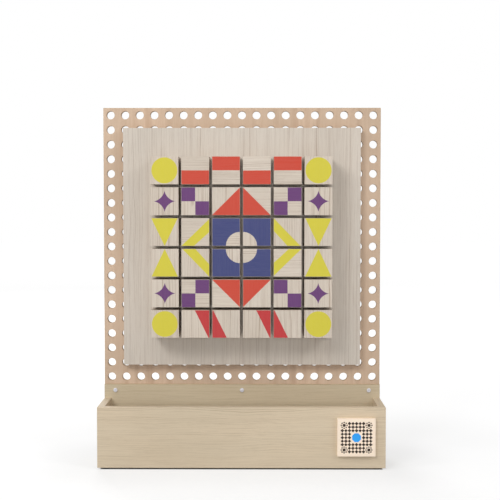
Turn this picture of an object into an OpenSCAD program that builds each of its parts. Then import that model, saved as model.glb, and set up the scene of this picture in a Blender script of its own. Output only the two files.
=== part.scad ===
// Pattern-block mosaic stand.
// A perforated wooden panel stands upright on the back of an open storage bin. A square
// picture board is screwed to the front of the panel, and wooden cubes hold on to it with
// magnets, in a square grid. Each cube pulls straight off towards the front.
//
// Frame: X to the right, Y to the rear, Z up. The front faces -Y. The origin is on the
// surface that the stand rests on, at the middle of its outline.

/* [Panel] */
// Width of the panel and of the bin, and height of the hole field
stand_w = 600; // [560:5:660]
// Thickness of the perforated panel
panel_t = 12; // [10:1:18]
// Holes along each side of the square hole field
holes_a_side = 19; // [17:2:21]
// Diameter of each hole in the field
hole_d = 17.5; // [12:0.5:20]

/* [Storage bin] */
// Height of the bin walls
bin_h = 127; // [100:0.5:160]
// Depth of the bin, from the face of the panel to its own front face
bin_depth = 112; // [100:1:160]
// Thickness of the bin's front, sides and floor
bin_wall = 15; // [12:0.5:18]
// Thickness of the bin's back plate
back_t = 5.5; // [4:0.5:8]
// Height of the back plate above the bin's rim
flange_h = 30; // [26:0.5:50]

/* [Picture board] */
// Width and height of the picture board
board_size = 511; // [480:1:550]
// Thickness of the board's core
core_t = 14; // [12:0.5:18]
// Thickness of the board's front face
face_t = 4; // [2:0.5:6]
// Thickness of the steel sheet between core and face
steel_t = 1; // [0.5:0.1:2]
// Rim of bare core around the steel sheet
steel_rim = 20; // [10:1:30]

/* [Blocks] */
// Edge length of a block
block_size = 58.5; // [45:0.5:60]
// Distance between the middles of two blocks
block_pitch = 64.5; // [62:0.5:70]
// Height of the blocks' middle above the board's middle
block_rise = 1; // [-3:0.5:3]
// Flat cut along each edge of a block
block_chamfer = 0.8; // [0.4:0.1:2]
// Diameter of the magnet in a block's back
magnet_d = 15; // [10:1:25]
// Thickness of the magnet
magnet_t = 5; // [3:0.5:8]

/* [Small parts] */
// Edge length of the plate on the bin's front
plate_size = 79; // [60:0.5:90]
// Thickness of that plate
plate_t = 8; // [3.5:0.5:10]
// Distance from the plate's edge to the bin's right side
plate_inset = 22; // [10:0.5:200]
// Height of the plate's lower edge above the bin's lower edge
plate_lift = 26.5; // [5:0.5:30]
// Diameter of the pads that the stand rests on
pad_d = 22; // [16:1:26]
// Thickness of those pads
pad_h = 3; // [2:0.5:6]

/* [Hidden] */
$fn = 48;
BLOCKS_A_SIDE = 6;
SIDES = [-1, 1];

FIXED_NODES = [
    "perforated_panel", "board_core", "board_steel_sheet", "board_face", "board_bushes",
    "board_screws", "bin_front", "bin_side_left", "bin_side_right", "bin_floor",
    "bin_back_plate", "flange_screws", "back_plate_screws", "base_screws", "front_dowels",
    "floor_dowels", "info_plate", "info_plate_pins", "pad_front_left", "pad_front_right",
    "pad_rear_left", "pad_rear_right"
];

// Clearances: glued or screwed fits, and the air between a block and what is behind it
fit = 0.05;
block_air = 0.3;
magnet_glue = 0.1;

// Screws: small ones through the bin's thin plate, and larger ones elsewhere
screw_d = 4;
flange_head_d = 9;
flange_head_h = 2.6;
flange_screw_l = 15.5;
flange_screw_drop = 13;
flange_screw_inset = 24;
base_head_d = 8;
base_screw_l = 38;
plate_screw_d = 3.5;
plate_screw_head_d = 6.5;
plate_screw_l = 25;

// Bushes that centre the board's screws in the panel's holes
bush_flange_d = 28;
bush_flange_t = 3;
bush_short = 0.5;
board_screw_d = 5;
board_head_d = 10;
board_head_h = 2.8;
board_screw_bite = 11;

// Wooden dowels in the bin's joints, and the pins behind the small plate
dowel_d = 6;
dowel_l = 30;
dowel_bite = 10;
dowel_end_gap = 1;
pin_d = 6;
pin_l = 10;
pin_bite = 2.5;
pin_spread = 50;

// Depths, from the front of the small plate to the back of the board's screws
board_t = core_t + face_t;
total_depth = plate_t + bin_depth + panel_t + bush_flange_t + board_head_h;
panel_y = plate_t + bin_depth - total_depth / 2;
panel_back_y = panel_y + panel_t;
bin_front_y = panel_y - bin_depth;
back_plate_y = panel_y - back_t;
board_y = panel_y - board_t;
block_back_y = board_y - block_air;

// Heights
rim_z = pad_h + bin_h;
flange_z = rim_z + flange_h;
panel_h = bin_h + flange_h + stand_w;
field_z = flange_z + stand_w / 2;
floor_mid_z = pad_h + bin_wall / 2;

// Hole field, and the holes that the board's screws use
hole_pitch = stand_w / holes_a_side;
half_field = (holes_a_side - 1) / 2;
bush_reach = floor((board_size / 2 - bush_flange_d) / hole_pitch) * hole_pitch;
BUSH_PLACES = [for (i = [-1, 0, 1], k = [-1, 0, 1]) if (i != 0 || k != 0) bush_reach * [i, k]];

// Places of the bin's fasteners
flange_screw_x = stand_w / 2 - flange_screw_inset;
flange_screw_z = flange_z - flange_screw_drop;
base_screw_x = stand_w / 3;
side_mid_x = (stand_w - bin_wall) / 2;
side_l = bin_depth - bin_wall - back_t;
side_y = bin_front_y + bin_wall;
front_dowel_z = [pad_h + bin_h * 0.3, pad_h + bin_h * 0.78];
floor_dowel_y = [side_y + side_l * 0.25, side_y + side_l * 0.75];
plate_x = stand_w / 2 - plate_inset - plate_size / 2;
plate_z = pad_h + plate_lift + plate_size / 2;
pad_x = (stand_w - pad_d) / 2 - 5;
pad_front_y = bin_front_y + pad_d / 2 + 4;
pad_rear_y = panel_back_y - pad_d / 2 - 2;

function block_name(row, col) = str("block_r", row, "c", col);
function block_place(row, col) = [
    (col - (BLOCKS_A_SIDE + 1) / 2) * block_pitch,
    block_back_y - block_size / 2,
    field_z + block_rise + ((BLOCKS_A_SIDE + 1) / 2 - row) * block_pitch
];
function chamfered_square(size, cut) = [
    for (turn = [0:90:270], end = SIDES)
        let (a = size / 2, b = end * (size / 2 - cut))
        [a * cos(turn) - b * sin(turn), a * sin(turn) + b * cos(turn)]
];

// Turns a shape drawn along +Z so that it points to the rear or to the front
module to_rear() rotate([-90, 0, 0]) children();
module to_front() rotate([90, 0, 0]) children();

// A hole from a front face into what is behind it
module hole_to_rear(place, d, depth) {
    translate(place) to_rear() translate([0, 0, -1]) cylinder(d = d, h = depth + 1);
}

// A round-headed screw whose head sits on Z = 0 and whose tip points down
module round_screw(head_d, head_h, d, length) {
    dome_r = (head_d * head_d / 4 + head_h * head_h) / (2 * head_h);
    difference() {
        union() {
            intersection() {
                translate([0, 0, head_h - dome_r]) sphere(r = dome_r);
                cylinder(d = head_d, h = head_h + 1);
            }
            screw_shank(d, length);
        }
        cross_recess(head_d, head_h);
    }
}

// A flush screw whose head's top is at Z = 0
module flush_screw(head_d, d, length) {
    head_h = (head_d - d) / 2;
    difference() {
        union() {
            translate([0, 0, -head_h]) cylinder(d1 = d, d2 = head_d, h = head_h);
            screw_shank(d, length);
        }
        cross_recess(head_d, 0);
    }
}

module screw_shank(d, length) {
    tip = d;
    translate([0, 0, tip - length]) cylinder(d = d, h = length - tip);
    translate([0, 0, -length]) cylinder(d1 = d / 5, d2 = d, h = tip);
}

// The cross that a driver turns, cut down from the head's top
module cross_recess(head_d, top) {
    depth = head_d * 0.16;
    slot_w = head_d * 0.12;
    for (turn = [0, 90]) rotate(turn)
        translate([-head_d * 0.27, -slot_w / 2, top - depth]) cube([head_d * 0.54, slot_w, depth + 1]);
}

// A countersink that a flush screw fills, on the face at Z = 0
module countersink(head_d, d, depth) {
    head_h = (head_d - d) / 2;
    translate([0, 0, -head_h]) cylinder(d1 = d + 2 * fit, d2 = head_d + 2 * fit, h = head_h);
    translate([0, 0, -depth]) cylinder(d = d + 2 * fit, h = depth);
}

module perforated_panel() color("burlywood") difference() {
    translate([0, panel_back_y, 0]) to_front() linear_extrude(panel_t) difference() {
        translate([-stand_w / 2, pad_h]) square([stand_w, panel_h]);
        for (i = [-half_field:half_field], k = [-half_field:half_field])
            translate([i * hole_pitch, field_z + k * hole_pitch]) circle(d = hole_d);
    }
    for (x = flange_screw_x * [-1, 0, 1])
        hole_to_rear([x, panel_y, flange_screw_z], screw_d + 2 * fit, flange_screw_l - back_t + 1);
    for (x = base_screw_x * [-1, 0, 1])
        translate([x, panel_back_y, floor_mid_z]) to_rear() countersink(base_head_d, screw_d, panel_t + 1);
}

module board_core() color("tan") difference() {
    translate([-board_size / 2, panel_y - core_t, field_z - board_size / 2])
        cube([board_size, core_t, board_size]);
    steel = board_size - 2 * steel_rim + 2 * fit;
    translate([-steel / 2, panel_y - core_t - 1, field_z - steel / 2]) cube([steel, steel_t + 1, steel]);
    for (place = BUSH_PLACES)
        translate([place[0], panel_y, field_z + place[1]]) to_front() translate([0, 0, -1])
            cylinder(d = board_screw_d + 2 * fit, h = board_screw_bite + 1);
}

module board_steel_sheet() color("gray") {
    steel = board_size - 2 * steel_rim;
    translate([-steel / 2, panel_y - core_t, field_z - steel / 2]) cube([steel, steel_t, steel]);
}

module board_face() color("gainsboro")
    translate([-board_size / 2, board_y, field_z - board_size / 2]) cube([board_size, face_t, board_size]);

module board_bushes() color("dimgray") for (place = BUSH_PLACES)
    translate([place[0], panel_back_y, field_z + place[1]]) to_rear() difference() {
        union() {
            cylinder(d = bush_flange_d, h = bush_flange_t);
            translate([0, 0, bush_short - panel_t]) cylinder(d = hole_d - 4 * fit, h = panel_t - bush_short + 1);
        }
        translate([0, 0, -panel_t]) cylinder(d = board_screw_d + 2 * fit, h = panel_t + bush_flange_t + 1);
    }

module board_screws() color("silver") for (place = BUSH_PLACES)
    translate([place[0], panel_back_y + bush_flange_t, field_z + place[1]]) to_rear()
        round_screw(board_head_d, board_head_h, board_screw_d, bush_flange_t + panel_t + board_screw_bite - 1);

module bin_front() color("wheat") difference() {
    translate([-stand_w / 2, bin_front_y, pad_h]) cube([stand_w, bin_wall, bin_h]);
    for (side = SIDES, z = front_dowel_z)
        translate([side * side_mid_x, side_y + 1, z]) to_front()
            cylinder(d = dowel_d + 2 * fit, h = dowel_bite + 1);
    for (x = pin_spread / 2 * SIDES)
        hole_to_rear([plate_x + x, bin_front_y, plate_z], pin_d + 2 * fit, pin_l - pin_bite + 0.5);
}

module bin_side(side) color("wheat") difference() {
    translate([side * side_mid_x - bin_wall / 2, side_y, pad_h]) cube([bin_wall, side_l, bin_h]);
    for (z = front_dowel_z)
        hole_to_rear([side * side_mid_x, side_y, z], dowel_d + 2 * fit, dowel_l - dowel_bite + dowel_end_gap);
    for (y = floor_dowel_y)
        translate([side * (side_mid_x - bin_wall / 2 - 1), y, floor_mid_z]) rotate([0, side * 90, 0])
            cylinder(d = dowel_d + 2 * fit, h = dowel_bite + 1);
    for (z = front_dowel_z)
        translate([side * side_mid_x, back_plate_y + 1, z]) to_front()
            cylinder(d = plate_screw_d + 2 * fit, h = plate_screw_l - back_t + 2);
}

module bin_floor() color("wheat") difference() {
    floor_w = stand_w - 2 * bin_wall;
    translate([-floor_w / 2, side_y, pad_h]) cube([floor_w, side_l, bin_wall]);
    for (side = SIDES, y = floor_dowel_y)
        translate([side * (floor_w / 2 + 1), y, floor_mid_z]) rotate([0, -side * 90, 0])
            cylinder(d = dowel_d + 2 * fit, h = dowel_l - dowel_bite + dowel_end_gap + 1);
    for (x = base_screw_x * [-1, 0, 1])
        translate([x, back_plate_y + 1, floor_mid_z]) to_front()
            cylinder(d = screw_d + 2 * fit, h = base_screw_l - panel_t - back_t + 2);
}

module bin_back_plate() color("tan") difference() {
    translate([-stand_w / 2, back_plate_y, pad_h]) cube([stand_w, back_t, bin_h + flange_h]);
    for (x = flange_screw_x * [-1, 0, 1])
        hole_to_rear([x, back_plate_y, flange_screw_z], screw_d + 2 * fit, back_t + 1);
    for (x = base_screw_x * [-1, 0, 1])
        hole_to_rear([x, back_plate_y, floor_mid_z], screw_d + 2 * fit, back_t + 1);
    for (side = SIDES, z = front_dowel_z)
        translate([side * side_mid_x, panel_y, z]) to_rear()
            countersink(plate_screw_head_d, plate_screw_d, back_t + 1);
}

module flange_screws() color("silver") for (x = flange_screw_x * [-1, 0, 1])
    translate([x, back_plate_y, flange_screw_z]) to_front()
        round_screw(flange_head_d, flange_head_h, screw_d, flange_screw_l);

module back_plate_screws() color("silver") for (side = SIDES, z = front_dowel_z)
    translate([side * side_mid_x, panel_y, z]) to_rear()
        flush_screw(plate_screw_head_d, plate_screw_d, plate_screw_l);

module base_screws() color("silver") for (x = base_screw_x * [-1, 0, 1])
    translate([x, panel_back_y, floor_mid_z]) to_rear() flush_screw(base_head_d, screw_d, base_screw_l);

module front_dowels() color("peru") for (side = SIDES, z = front_dowel_z)
    translate([side * side_mid_x, side_y - dowel_bite, z]) to_rear() cylinder(d = dowel_d, h = dowel_l);

module floor_dowels() color("peru") for (side = SIDES, y = floor_dowel_y)
    translate([side * (side_mid_x - bin_wall / 2 + dowel_bite), y, floor_mid_z]) rotate([0, -side * 90, 0])
        cylinder(d = dowel_d, h = dowel_l);

module info_plate() color("linen") difference() {
    corner = 2;
    translate([plate_x, bin_front_y, plate_z]) to_front() linear_extrude(plate_t) union() {
        square([plate_size - 2 * corner, plate_size], center = true);
        square([plate_size, plate_size - 2 * corner], center = true);
        for (x = SIDES, z = SIDES) translate((plate_size / 2 - corner) * [x, z]) circle(r = corner);
    }
    for (x = pin_spread / 2 * SIDES)
        translate([plate_x + x, bin_front_y + 1, plate_z]) to_front() cylinder(d = pin_d + 2 * fit, h = pin_bite + 1);
}

module info_plate_pins() color("peru") for (x = pin_spread / 2 * SIDES)
    translate([plate_x + x, bin_front_y - pin_bite, plate_z]) to_rear() cylinder(d = pin_d, h = pin_l);

module pad(x, y) color("dimgray") translate([x, y, 0]) {
    edge = 0.8;
    cylinder(d1 = pad_d - 2 * edge, d2 = pad_d, h = edge);
    translate([0, 0, edge]) cylinder(d = pad_d, h = pad_h - edge);
}

// A cube with its edges cut flat, a bore in its back and the magnet glued into it
module block(row, col) translate(block_place(row, col)) {
    seat = magnet_t + 2 * magnet_glue;
    color("antiquewhite") difference() {
        intersection_for (turn = [[0, 0, 0], [90, 0, 0], [0, 90, 0]])
            rotate(turn) linear_extrude(block_size, center = true)
                polygon(chamfered_square(block_size, block_chamfer));
        translate([0, block_size / 2 + 1, 0]) to_front() cylinder(d = magnet_d + 4 * fit, h = seat + 1);
    }
    color("silver") translate([0, block_size / 2 - seat + magnet_glue, 0]) to_rear()
        cylinder(d = magnet_d, h = magnet_t);
}

perforated_panel();
board_core();
board_steel_sheet();
board_face();
board_bushes();
board_screws();
bin_front();
bin_side(-1);  // bin_side_left
bin_side(1);  // bin_side_right
bin_floor();
bin_back_plate();
flange_screws();
back_plate_screws();
base_screws();
front_dowels();
floor_dowels();
info_plate();
info_plate_pins();
pad(-pad_x, pad_front_y);  // pad_front_left
pad(pad_x, pad_front_y);  // pad_front_right
pad(-pad_x, pad_rear_y);  // pad_rear_left
pad(pad_x, pad_rear_y);  // pad_rear_right
for (row = [1:BLOCKS_A_SIDE], col = [1:BLOCKS_A_SIDE])
    block(row, col);
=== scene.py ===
"""Looks of the pattern-block mosaic stand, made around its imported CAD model.

Lengths inside the mesh code are millimetres; every finished piece is in metres, in the frame of the
CAD model, with its object left at the origin.
"""
import math
import random

import bmesh
import bpy
from mathutils import Matrix, Vector
from mathutils.geometry import delaunay_2d_cdt


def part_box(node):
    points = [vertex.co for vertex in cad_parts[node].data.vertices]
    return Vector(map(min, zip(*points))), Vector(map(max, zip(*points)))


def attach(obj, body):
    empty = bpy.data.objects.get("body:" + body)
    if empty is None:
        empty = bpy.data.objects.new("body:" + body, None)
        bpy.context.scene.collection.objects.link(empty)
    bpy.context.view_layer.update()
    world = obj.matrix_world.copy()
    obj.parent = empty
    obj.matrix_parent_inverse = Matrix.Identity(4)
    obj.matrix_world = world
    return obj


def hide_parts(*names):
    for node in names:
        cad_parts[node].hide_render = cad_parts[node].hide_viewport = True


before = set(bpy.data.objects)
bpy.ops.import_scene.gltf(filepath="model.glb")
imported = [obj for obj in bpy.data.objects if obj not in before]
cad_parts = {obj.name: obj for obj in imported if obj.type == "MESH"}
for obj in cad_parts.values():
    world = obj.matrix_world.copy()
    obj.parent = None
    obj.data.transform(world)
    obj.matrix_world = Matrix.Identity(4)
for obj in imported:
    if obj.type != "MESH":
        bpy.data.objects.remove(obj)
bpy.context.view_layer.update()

MM = 0.001
# How finely round things are divided
CORNER_STEPS = 3
HOLE_STEPS = 32
TURNED_STEPS = 40
# The bend of a turned outline, in degrees, that is left as a sharp edge
SHARP_BEND = 35.0
# The small round on the edge of every hole in a board
HOLE_RIM = 0.35
# For a board whose thickness runs along an axis: its width, height and front-face directions
BOARD_AXES = {
    "x": (Vector((0, 1, 0)), Vector((0, 0, 1)), Vector((1, 0, 0))),
    "y": (Vector((1, 0, 0)), Vector((0, 0, 1)), Vector((0, -1, 0))),
    "z": (Vector((1, 0, 0)), Vector((0, 1, 0)), Vector((0, 0, 1))),
}
X, Y, Z = Vector((1, 0, 0)), Vector((0, 1, 0)), Vector((0, 0, 1))


# ---------------------------------------------------------------- meshes

class Form:
    """A mesh under construction, with a normal at each corner of each face."""

    def __init__(self):
        self.points, self.wear, self.faces, self.normals, self.slots = [], [], [], [], []

    def add(self, point, wear=0.0):
        self.points.append(Vector(point))
        self.wear.append(wear)
        return len(self.points) - 1

    def face(self, ids, normals, slot=0):
        self.faces.append(ids)
        self.normals.extend(normals)
        self.slots.append(slot)

    def piece(self, name, axes, origin, materials, grain, body, nodes, slot):
        """Turns the form into an object that rides on a body and stands for CAD nodes."""
        right, up, front = axes
        turn = Matrix((right, up, front)).transposed()
        places = [origin + turn @ p for p in self.points]
        mesh = bpy.data.meshes.new(name)
        mesh.from_pydata([p * MM for p in places], [], self.faces)
        for material in materials:
            mesh.materials.append(material)
        mesh.polygons.foreach_set("material_index", self.slots)
        mesh.polygons.foreach_set("use_smooth", [True] * len(self.faces))
        mesh.normals_split_custom_set([(turn @ n).normalized() for n in self.normals])
        layer = mesh.attributes.new("grain", "FLOAT_VECTOR", "POINT")
        layer.data.foreach_set("vector", [c for p in places for c in grain.at(p)])
        # The round edges' mask, which the wood paints paler: partly worn by handling, partly a
        # painted highlight
        layer = mesh.attributes.new("wear", "FLOAT", "POINT")
        layer.data.foreach_set("value", self.wear)
        layer = mesh.attributes.new("ply", "FLOAT", "POINT")
        layer.data.foreach_set("value", [p.z for p in self.points])
        mesh.update()
        thing = bpy.data.objects.new(name, mesh)
        bpy.context.collection.objects.link(thing)
        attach(thing, body)
        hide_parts(*nodes)
        return thing


class Grain:
    """Where a piece of wood was cut from its log: w runs along the grain, u away from the pith."""

    def __init__(self, seed, along, outward, pith=90.0):
        # The pith's distance varies, and the piece is cut from anywhere along the log
        draw = random.Random(seed)
        self.along, self.outward = along, outward
        self.across = along.cross(outward)
        self.shift = (pith * draw.uniform(0.85, 1.2), draw.uniform(-14, 14),
                      draw.uniform(0, 9000))

    def at(self, p):
        return (p.dot(self.outward) + self.shift[0], p.dot(self.across) + self.shift[1],
                p.dot(self.along) + self.shift[2])


def tilted(direction, other, angle):
    """A direction turned a little towards another one."""
    a = math.radians(angle)
    return direction * math.cos(a) + other * math.sin(a)


def rounded_outline(width, height, corner):
    """Points and outward directions round a rectangle with round corners, anticlockwise."""
    loop = []
    for k, (sx, sy) in enumerate([(1, -1), (1, 1), (-1, 1), (-1, -1)]):
        middle = Vector((sx * (width / 2 - corner), sy * (height / 2 - corner)))
        for i in range(CORNER_STEPS + 1):
            a = math.radians(-90 + 90 * k + 90 * i / CORNER_STEPS)
            out = Vector((math.cos(a), math.sin(a)))
            loop.append((middle + corner * out, out))
    return loop


def hole_outline(u, v, radius):
    """Points round a hole, clockwise, with directions towards its middle."""
    loop = []
    for i in range(HOLE_STEPS):
        a = -2 * math.pi * i / HOLE_STEPS
        out = Vector((math.cos(a), math.sin(a)))
        loop.append((Vector((u, v)) + radius * out, -out))
    return loop


def edge_rings(half, radius, steps):
    """The round edge from the front face to the side.

    Each ring has its inset, its height, the two parts of its normal, and how much the wood is paled
    there: the round edge is painted paler, partly worn by handling and partly a painted highlight.
    """
    rings = []
    for i in range(steps + 1):
        a = math.pi / 2 * i / steps
        wear = 0.0 if i in (0, steps) else 1.0
        rings.append((radius * (1 - math.sin(a)), half - radius * (1 - math.cos(a)),
                      math.cos(a), math.sin(a), wear))
    return rings


def mirrored(rings):
    """The same rings at the back, in the order from the side to the back face."""
    return [(inset, -z, -nz, ns, wear) for inset, z, nz, ns, wear in reversed(rings)]


def inside(point, polygon):
    """Whether a point lies in a polygon."""
    hit = False
    for a, b in zip(polygon, polygon[1:] + polygon[:1]):
        if (a[1] > point[1]) != (b[1] > point[1]):
            if point[0] < a[0] + (point[1] - a[1]) * (b[0] - a[0]) / (b[1] - a[1]):
                hit = not hit
    return hit


def cap(form, loops, z, facing, slot, prints=()):
    """Fills a flat face between its outline, its holes and its printed areas."""
    flat, ids, owner, edges = [], [], [], []
    for number, loop in enumerate(loops):
        start = len(flat)
        for index in loop:
            flat.append(form.points[index].xy.copy())
            ids.append(index)
            owner.append(number)
        edges += [(start + i, start + (i + 1) % len(loop)) for i in range(len(loop))]
    for area, _ in prints:
        start = len(flat)
        for p in area:
            flat.append(Vector(p))
            ids.append(None)
            owner.append(-1)
        edges += [(start + i, start + (i + 1) % len(area)) for i in range(len(area))]
    made, _, triangles, sources, _, _ = delaunay_2d_cdt(flat, edges, [], 0, 1e-5)
    known = []
    for p, source in zip(made, sources):
        old = [s for s in source if ids[s] is not None]
        known.append((ids[old[0]] if old else form.add((p.x, p.y, z)), {owner[s] for s in source}))
    normal = Vector((0, 0, facing))
    for tri in triangles:
        shared = set.intersection(*(known[i][1] for i in tri))
        if any(number > 0 for number in shared):
            continue
        middle = sum((made[i] for i in tri), Vector((0, 0))) / 3
        use = slot
        for area, area_slot in prints:
            if inside(middle, area):
                use = area_slot
        corners = [known[i][0] for i in tri]
        a, b, c = (form.points[i] for i in corners)
        if (b - a).cross(c - a).z * facing < 0:
            corners.reverse()
        form.face(corners, [normal] * 3, use)


def skirt(form, loop, rings, slot):
    """Runs rings of faces along an outline. Returns the first and the last ring's points."""
    bands = []
    for inset, z, nz, ns, wear in rings:
        bands.append([(form.add((*(p - inset * out), z), wear), Vector((*(ns * out), nz)))
                      for p, out in loop])
    n = len(loop)
    for upper, lower in zip(bands, bands[1:]):
        for i in range(n):
            j = (i + 1) % n
            corners = [upper[i], lower[i], lower[j], upper[j]]
            form.face([c[0] for c in corners], [c[1] for c in corners], slot)
    return [c[0] for c in bands[0]], [c[0] for c in bands[-1]]


def slab(size, rim=0.6, steps=3, holes=(), pits=(), prints=(), slots=(0, 0, 0)):
    """A board with round edges and holes.

    Through holes are (u, v, radius), and blind ones, in the back, (u, v, radius, depth). The slots
    are the materials of the front, the back, and the sides and holes.
    """
    width, height, thick = size
    face_slot, back_slot, side_slot = slots
    form = Form()
    full = edge_rings(thick / 2, rim, steps)
    outline = rounded_outline(width, height, rim * 1.1)
    first, last = skirt(form, outline, full + mirrored(full), side_slot)
    fronts, backs = [first], [last]
    small = edge_rings(thick / 2, HOLE_RIM, 2)
    for u, v, radius in holes:
        a, b = skirt(form, hole_outline(u, v, radius), small + mirrored(small), side_slot)
        fronts.append(a)
        backs.append(b)
    for u, v, radius, depth in pits:
        bottom = (0.0, thick / 2 - depth, 0.0, 1.0, 0.0)
        a, b = skirt(form, hole_outline(u, v, radius), mirrored(small + [bottom]), side_slot)
        form.face(a, [Vector((0, 0, -1))] * len(a), side_slot)
        backs.append(b)
    cap(form, fronts, thick / 2, 1, face_slot, prints)
    cap(form, backs, -thick / 2, -1, back_slot)
    return form


def bend(radius_at, z_at, radius, start, stop, steps):
    """Part of a lathe outline: a quarter-round about (radius_at, z_at)."""
    out = []
    for i in range(steps + 1):
        a = math.radians(start + (stop - start) * i / steps)
        out.append((radius_at + radius * math.cos(a), z_at + radius * math.sin(a)))
    return out


def lathe(outline, steps=TURNED_STEPS):
    """A turned form. Its outline of (radius, height) runs from the front, outwards, to the back."""
    form = Form()
    slopes = []
    for (r0, z0), (r1, z1) in zip(outline, outline[1:]):
        d = Vector((z0 - z1, r1 - r0))
        slopes.append(d.normalized() if d.length > 0 else Vector((0, 1)))
    rings = []
    for r, z in outline:
        if r < 1e-6:
            rings.append([form.add((0, 0, z))] * steps)
        else:
            rings.append([form.add((r * math.cos(2 * math.pi * i / steps),
                                    r * math.sin(2 * math.pi * i / steps), z))
                          for i in range(steps)])

    def normal(k, step, i):
        """The normal of band k at its upper (step -1) or lower (step 1) end."""
        use = slopes[k]
        if 0 <= k + step < len(slopes):
            near = slopes[k + step]
            if near.angle(use) < math.radians(SHARP_BEND):
                use = (near + use).normalized()
        a = 2 * math.pi * i / steps
        return Vector((use.x * math.cos(a), use.x * math.sin(a), use.y))

    for k in range(len(slopes)):
        for i in range(steps):
            j = (i + 1) % steps
            corners = [(rings[k][i], normal(k, -1, i)), (rings[k + 1][i], normal(k, 1, i)),
                       (rings[k + 1][j], normal(k, 1, j)), (rings[k][j], normal(k, -1, j))]
            if rings[k][i] == rings[k][j]:
                corners.pop()
            if rings[k + 1][i] == rings[k + 1][j]:
                corners.pop(2)
            form.face([c[0] for c in corners], [c[1] for c in corners])
    return form


# ---------------------------------------------------------------- materials

def linear(red, green, blue):
    """A colour from its 0 to 255 values."""
    def one(c):
        c /= 255
        return c / 12.92 if c <= 0.04045 else ((c + 0.055) / 1.055) ** 2.4
    return (one(red), one(green), one(blue), 1.0)


class Shader:
    """A material under construction.

    Noise lies mostly between 0.3 and 0.7, so spread() widens it.
    """

    def __init__(self, name):
        self.material = bpy.data.materials.new(name)
        self.material.use_nodes = True
        self.tree = self.material.node_tree
        self.tree.nodes.clear()
        self.out = self.tree.nodes.new("ShaderNodeOutputMaterial")
        self.skin = self.tree.nodes.new("ShaderNodeBsdfPrincipled")
        self.tree.links.new(self.skin.outputs[0], self.out.inputs[0])

    def put(self, kind, inputs=(), **settings):
        node = self.tree.nodes.new(kind)
        for key, value in settings.items():
            setattr(node, key, value)
        for key, value in dict(inputs).items():
            if isinstance(value, bpy.types.NodeSocket):
                self.tree.links.new(value, node.inputs[key])
            else:
                node.inputs[key].default_value = value
        return node

    def math(self, operation, a, b=0.0, clamp=False):
        node = self.put("ShaderNodeMath", {0: a, 1: b}, operation=operation, use_clamp=clamp)
        return node.outputs[0]

    def vector(self, operation, a, b):
        return self.put("ShaderNodeVectorMath", {0: a, 1: b}, operation=operation).outputs[0]

    def length(self, a):
        return self.put("ShaderNodeVectorMath", {0: a}, operation="LENGTH").outputs["Value"]

    def place_mm(self):
        """A point's place on its own piece, in millimetres."""
        place = self.put("ShaderNodeTexCoord").outputs["Object"]
        return self.vector("MULTIPLY", place, (1 / MM, 1 / MM, 1 / MM))

    def noise(self, where, cell, detail=2.0, roughness=0.5, colour=False):
        """Noise whose cells have the given sizes along the three axes."""
        stretched = self.vector("MULTIPLY", where, [1 / size for size in cell])
        node = self.put("ShaderNodeTexNoise", {"Vector": stretched, "Scale": 1.0, "Detail": detail,
                                               "Roughness": roughness})
        return node.outputs[1 if colour else 0]

    def spread(self, value, low, high, to_low=0.0, to_high=1.0):
        """Maps low and high to two other values, and stops there."""
        inputs = {0: value, 1: low, 2: high, 3: to_low, 4: to_high}
        return self.put("ShaderNodeMapRange", inputs).outputs[0]

    def mix(self, factor, a, b, blend="MIX"):
        node = self.put("ShaderNodeMix", {0: factor, 6: a, 7: b}, data_type="RGBA",
                        blend_type=blend)
        return node.outputs[2]

    def attribute(self, name, output):
        return self.put("ShaderNodeAttribute", attribute_name=name).outputs[output]

    def finish(self, colour, roughness, relief=None, **fixed):
        """Completes the skin. A relief is (height, depth in mm, strength)."""
        links = self.tree.links
        links.new(colour, self.skin.inputs["Base Color"])
        if isinstance(roughness, bpy.types.NodeSocket):
            links.new(roughness, self.skin.inputs["Roughness"])
        else:
            self.skin.inputs["Roughness"].default_value = roughness
        if relief:
            height, depth, strength = relief
            bump = self.put("ShaderNodeBump", {"Height": height, "Distance": depth * MM,
                                               "Strength": strength})
            links.new(bump.outputs[0], self.skin.inputs["Normal"])
        for key, value in fixed.items():
            self.skin.inputs[key.replace("_", " ")].default_value = value
        return self.material


# How far the rings wander over the board and from place to place, in mm at a warp of 1
DRIFT, WAVER = 9.0, 0.7
# The rings get wider and narrower: over how many rings, and by how many of them
UNEVEN_OVER, UNEVEN_BY = 2.7, 2.4
# The weakest year, and how rare strong years are
FAINTEST, RARITY = 0.35, 2.5
WOOD_ROUGH = 0.52
# How much of the wood the ink hides, and how strong its specks are
INK_COVER, INK_SPECK = 0.985, 0.10
# How bumpy and how shiny the bare wood and the ink are
BARE_RELIEF, BARE_SHINE = 0.45, 0.3
INK_RELIEF, INK_SHINE = 0.25, 0.18


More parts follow.
